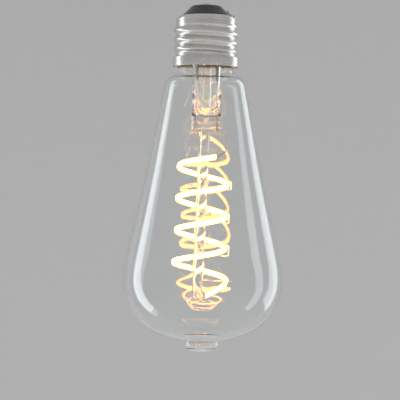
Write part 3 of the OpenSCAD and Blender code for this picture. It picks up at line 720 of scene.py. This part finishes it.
# The return lead comes up on the rod's front, and the lower tab is welded on its front
LEAD_FRONT = -ROD_D / 2 - LEAD_D / 2 - 2 * SEAT
PAD_Y = LEAD_FRONT - LEAD_D / 2 - TAB_T / 2 - 3 * SEAT
# How far above the rod's foot the weld starts, the tab ends and the lead ends
PAD_LOW, PAD_HIGH, LEAD_HIGH = 0.8, 2.6, 2.4


def ribbon(name, path, first):
    """A flat metal end of the strip, made as a piece."""
    bm = bmesh.new()
    sweep(bm, bar_section(TAB_T, TAB_W, 16, roundness=0.5), along(path, first))
    clean(bm)
    piece(name, bm, [name])


def tabs():
    """The strip's metal ends. Gives the point where the upper one ends."""
    steps = 12
    start_deg, sweep_deg = COIL_START + 1, math.degrees(TAB_LEN / COIL_R)
    upper = []
    for i in range(steps + 1):
        a = math.radians(start_deg + sweep_deg * i / steps)
        upper.append(hung(COIL_R * math.cos(a), COIL_R * math.sin(a),
                          TAB_RISE * smooth(i / steps) - COIL_DROP))
    ribbon("upper_tab", upper, (1, 0, 0))
    # The lower one leaves the strip along its run, drops, turns in and rises along the lead
    start, onward = (coil_place(COIL_TURNS + more).translation / MM for more in (0.003, 0.015))
    lower = [start, onward, start + Vector((-1, 0.3, -1.9)),
             hung(0.5, PAD_Y - 1.8, 0.6 - ROD_LEN), hung(0, PAD_Y, PAD_LOW - ROD_LEN),
             hung(0, PAD_Y, PAD_HIGH - ROD_LEN)]
    ribbon("lower_tab", eased(lower, 1), (0, 1, 0))
    return upper[-1]


tab_end = tabs()


# Wires in the glass: how far below the pinch each bend of a lead lies, how far the return lead
# swings out, and how far under the rod it passes
UPPER_DROPS = (0.8, 1.4, 2.4)
RETURN_DROPS = (0.5, 1, 2.6, 3.6)
RETURN_SWING = 2.7
UNDER_ROD = 0.5


def lead(name, bends, cut, first):
    """A stiff wire with eased bends, made as a piece."""
    bm = bmesh.new()
    wire(bm, eased(bends, cut), LEAD_D, first)
    clean(bm)
    piece(name, bm, [name])


def leads():
    """Two wires from the pinch: one to the upper tab, one along the rod and round its foot."""
    left, right = STEM_SHIFT - SEAL_GAP / 2, STEM_SHIFT + SEAL_GAP / 2
    weld = tab_end + Vector((0.1, 0, TAB_W / 2))
    out, over, down = (PINCH_Z - drop for drop in UPPER_DROPS)
    upper = [Vector((right, 0, PINCH_Z)), Vector((right, 0, out)),
             Vector((weld.x - 0.7, weld.y * 0.75, over)), Vector((weld.x, weld.y, down)), weld]
    lead("upper_lead", upper, 0.7, (0, 1, 0))
    beside = -ROD_D / 2 - LEAD_D / 2 - SEAT
    low = -ROD_LEN - LEAD_D / 2 - UNDER_ROD
    out, away, back, down = (PINCH_Z - drop for drop in RETURN_DROPS)
    lower = [Vector((left, 0, PINCH_Z)), Vector((left, 0, out)),
             Vector((left - RETURN_SWING, 0.2, away)), Vector((left - 0.5, 0.2, back)),
             Vector((left - 0.2, 0.1, down)), hung(beside, 0, -8), hung(beside, 0, low),
             hung(0, LEAD_FRONT, low), hung(0, LEAD_FRONT, LEAD_HIGH - ROD_LEN)]
    lead("return_lead", lower, 0.5, (1, 0, 0))


leads()


def anchors():
    """Fine wires from the rod, bent round the strip."""
    bm = bmesh.new()
    for k, t in enumerate(ANCHOR_TURNS):
        path = [hung(r, 0, coil_z(t) + z) for r, z in anchor_run(k)]
        wire(bm, eased(path, 0.6), ANCHOR_D, corners=10)
    clean(bm)
    piece("anchor_hooks", bm, ["anchor_wires"])


anchors()


# Screw cap
def thread_lift(z, angle, top, low):
    """Height of the thread on the shell, fading in under the lip and out above the collar."""
    wave = 0.5 - 0.5 * math.cos(2 * math.pi * z / THREAD_PITCH + angle)
    run_in, run_out = THREAD_PITCH, THREAD_PITCH / 1.5
    return THREAD_DEPTH * wave * smooth((top - z) / run_in) * smooth((z - low) / run_out)


def screw_shell():
    """A rolled shell: turned from its outline, then the thread raised on it."""
    root, lip, collar = THREAD_D / 2 - THREAD_DEPTH, LIP_D / 2, COLLAR_D / 2
    bend_r, bore = root - lip, root - SHELL_WALL
    top, low = -LIP_TOP - bend_r, COLLAR_H - CAP_H
    step_r, edge_r, rows = 0.5, 0.17, 160
    lip_edge = (lip - 0.05, -LIP_TOP - SHELL_WALL)
    outline = ([lip_edge, (lip, -LIP_TOP - 0.1)] + arc((lip + 0.1, top), bend_r, 88, 0, 14)[:-1]
               + [(root, top + (low - top) * i / rows) for i in range(rows + 1)]
               + arc((collar - step_r, low - step_r), step_r, 90, 0, 6)
               + arc((collar - edge_r, 0.18 - CAP_H), edge_r, 0, -180, 6)
               + [(collar - SHELL_WALL, low - SHELL_WALL), (bore - 0.2, low - SHELL_WALL),
                  (bore, low + 0.5), (bore, top), lip_edge])
    bm = bmesh.new()
    turn(bm, outline, 144)
    for vert in bm.verts:
        r, z = math.hypot(vert.co.x, vert.co.y) / MM, vert.co.z / MM
        if low < z < top and r > root - 0.01:
            factor = 1 + thread_lift(z, math.atan2(vert.co.y, vert.co.x), top, low) / r
            vert.co.x *= factor
            vert.co.y *= factor
    piece("screw_shell", bm, ["screw_shell"], sharp=50)


screw_shell()


def insulator():
    """Black glass round the contact: a rounded rim, a cone down to the lip and a wide skirt."""
    plate, lip, pin_way = CONTACT_D / 2, LIP_D / 2, PIN_D / 2
    edge_r, in_lip = 0.5, lip - 0.1
    cone = [(plate + 1.6, -1.9), (lip - 0.9, -4.05)]
    skirt = [(in_lip, -5.3), (in_lip, -5.45), (11.4, -6.9), (11.5, -7.7), (2.3, -7.75)]
    bm = bmesh.new()
    turn(bm, [(pin_way, -PLATE_FOOT), (plate, -PLATE_FOOT)]
         + arc((plate + 0.55, -1.5), edge_r, 150, 60, 8) + cone
         + arc((in_lip - edge_r, -4.9), edge_r, 60, 0, 6) + skirt
         + [(pin_way, -6.4)], 96, closed=True)
    piece("cap_insulator", bm, ["cap_insulator"], sharp=50)


insulator()


def contact():
    """The brass plate, and the pin whose head closes it."""
    r, pin_r, head = CONTACT_D / 2, PIN_D / 2, PIN_HEAD_D / 2
    edge_r, edge_z, head_r = 0.35, -1.05, 0.4
    bm = bmesh.new()
    turn(bm, [(pin_r, -PLATE_FOOT), (r, -PLATE_FOOT), (r, edge_z)]
         + arc((r - edge_r, edge_z), edge_r, 0, 80, 8) + [(pin_r, -PLATE_TOP)], 96, closed=True)
    piece("centre_contact", bm, ["centre_contact"], sharp=50)
    bm = bmesh.new()
    turn(bm, [(0, 0), (head - 0.5, 0)] + arc((head - head_r, -head_r), head_r, 75, 0, 8)
         + [(head, -PLATE_TOP), (pin_r, -PLATE_TOP), (pin_r, -PIN_END), (0, -PIN_END)], 72)
    piece("contact_pin", bm, ["contact_pin"], sharp=50)


contact()


def cement():
    """A baked ring between neck and collar, with a thin lip up the neck."""
    neck_r, bore = NECK_D / 2, COLLAR_D / 2 - SHELL_WALL
    ring_top, lip_r = -21.9, 11.6
    # Its open face is a little full between neck and collar
    face = [(neck_r, 0.5 - CAP_H), (neck_r + 0.5, 0.2 - CAP_H), (bore - 0.5, 0.25 - CAP_H),
            (bore, 0.4 - CAP_H)]
    bm = bmesh.new()
    turn(bm, face + [(bore, ring_top), (lip_r, ring_top), (lip_r, -20.7), (neck_r, -20.4)], 96,
         closed=True)
    piece("basing_cement", bm, ["basing_cement"], sharp=50)


cement()


def solder_blob():
    """A drop of solder on the shell's lip, flattened and fuller on its outer side."""
    blob_r, flatter, outer, inner = 1.05, 0.8, 1.1, 0.9
    bm = bmesh.new()
    bmesh.ops.create_icosphere(bm, subdivisions=4, radius=blob_r * MM)
    for vert in bm.verts:
        vert.co.z *= flatter
        vert.co.x *= outer if vert.co.x > 0 else inner
    on_lip = Vector((LIP_D / 2 + 0.85, 0, -LIP_TOP - 0.3)) * MM
    bmesh.ops.transform(bm, matrix=Matrix.Translation(on_lip), verts=bm.verts)
    piece("side_solder", bm, ["side_solder"], sharp=180)


solder_blob()

# The other nodes of the frame keep their shape and get their finish
for name, thing in frame["nodes"].items():
    if not thing.data.materials:
        thing.data.materials.append(None)
    for slot in thing.material_slots:
        slot.material = FINISHES[SLOTS[name]]


# Floor, backdrop and light
DAYLIGHT = (0.88, 0.95, 1.0)
ROOM_LIGHT = 0.9
ROOM_SEEN = 0.45
LAMP_MIDDLE = Vector((0, 0, -0.1))
# The backdrop, in millimetres: a flat floor, the curve that ends it, and a low wall
FLOOR_Z = -320
FLOOR_R = 1100
CURVE_R = 900
WALL_H = 1600
# The ends of the two tall lamps: azimuth in degrees, where 0 is behind the viewer, then
# distance and height in metres
LEFT_FOOT, LEFT_HEAD = (-96, 0.24, -0.31), (-111.8, 0.33, 0.2)
RIGHT_FOOT, RIGHT_HEAD = (114.3, 0.27, -0.24), (132.6, 0.33, 0.2)


def one_sided_paper():
    """Pale paper that shows from above only, so that the lamp can be seen from under the floor."""
    finish = Finish("paper", Roughness=0.8)
    finish.feed(Base_Color=finish.blend(finish.noise(50), grey(0.5), grey(0.52)))
    seen_from_behind = finish.add("ShaderNodeNewGeometry", {}, out="Backfacing")
    pale = Value(finish, finish.main.outputs[0])
    clear = finish.add("ShaderNodeBsdfTransparent", {})
    both = finish.add("ShaderNodeMixShader", {}, seen_from_behind, pale, clear)
    finish.links.new(both.socket, finish.nodes["Material Output"].inputs["Surface"])
    return finish.material


def studio():
    """A wide dish: a flat pale floor that curves up into a low wall all round."""
    bm = bmesh.new()
    turn(bm, [(0, FLOOR_Z)] + arc((FLOOR_R, FLOOR_Z + CURVE_R), CURVE_R, -90, 0, 16)
         + [(FLOOR_R + CURVE_R, FLOOR_Z + WALL_H)], 96)
    bmesh.ops.reverse_faces(bm, faces=bm.faces)
    dish = smooth_object("backdrop", bm)
    dish.data.materials.append(one_sided_paper())


def softbox(name, foot, head, width, radiance):
    """A tall lamp beside the glass that shows only as its mirror image.

    foot and head are the ends of its middle line, and width is in metres.
    """
    ends = []
    for azimuth, distance, height in (foot, head):
        a = math.radians(azimuth)
        ends.append(Vector((distance * math.sin(a), -distance * math.cos(a), height)))
    middle, up = (ends[0] + ends[1]) / 2, (ends[1] - ends[0]).normalized()
    lamp = bpy.data.lights.new(name, "AREA")
    lamp.shape = "RECTANGLE"
    lamp.size, lamp.size_y = width, (ends[1] - ends[0]).length
    lamp.energy = radiance * math.pi * lamp.size * lamp.size_y
    lamp.color = DAYLIGHT
    thing = bpy.data.objects.new(name, lamp)
    bpy.context.collection.objects.link(thing)
    away = middle - LAMP_MIDDLE
    away = (away - away.dot(up) * up).normalized()
    turned = Matrix((up.cross(away), up, away)).transposed().to_4x4()
    thing.matrix_world = Matrix.Translation(middle) @ turned
    thing.visible_camera = False
    # Glints in any glass show it, but straight through the bulb it stays dark: a straight ray
    # meets one to four faces of the bulb's two walls
    glow = Shading(lamp, "Emission")
    walls = glow.maths("COMPARE", glow.ray("Transmission Depth"), 2.5, 2)
    straight = glow.maths("LESS_THAN", glow.ray("Glossy Depth") + glow.ray("Diffuse Depth"), 0.5)
    glow.feed(Strength=1 - straight * walls)


def ceiling_light():
    """A broad soft lamp above the viewer's right. Neither glints nor glass show it."""
    lamp = bpy.data.lights.new("ceiling", "AREA")
    lamp.size = 1.6
    lamp.energy = 18
    ceiling = bpy.data.objects.new("ceiling", lamp)
    bpy.context.collection.objects.link(ceiling)
    ceiling.visible_glossy = ceiling.visible_transmission = False
    ceiling.location = (0.3, -0.6, 1.3)
    ceiling.rotation_euler = (ceiling.location - LAMP_MIDDLE).to_track_quat("Z", "Y").to_euler()


def room_light():
    """Even light from all round. The eye, glints and glass see it in the backdrop's tone."""
    world = bpy.data.worlds.new("room")
    bpy.context.scene.world = world
    room = Shading(world, "Background")
    shown = room.maths("MAXIMUM", room.ray("Is Glossy Ray"), room.ray("Is Transmission Ray"))
    shown = room.maths("MAXIMUM", room.ray("Is Camera Ray"), shown)
    room.feed(Color=(1, 1, 1), Strength=ROOM_LIGHT - shown * (ROOM_LIGHT - ROOM_SEEN))


studio()
softbox("left_light", LEFT_FOOT, LEFT_HEAD, width=0.084, radiance=2.2)
softbox("right_light", RIGHT_FOOT, RIGHT_HEAD, width=0.13, radiance=1.5)
ceiling_light()
room_light()

# Light passes many faces here, glass inside glass
scene = bpy.context.scene
scene.view_settings.view_transform = "Standard"
scene.cycles.max_bounces = 24
scene.cycles.transmission_bounces = 24
scene.cycles.glossy_bounces = 8
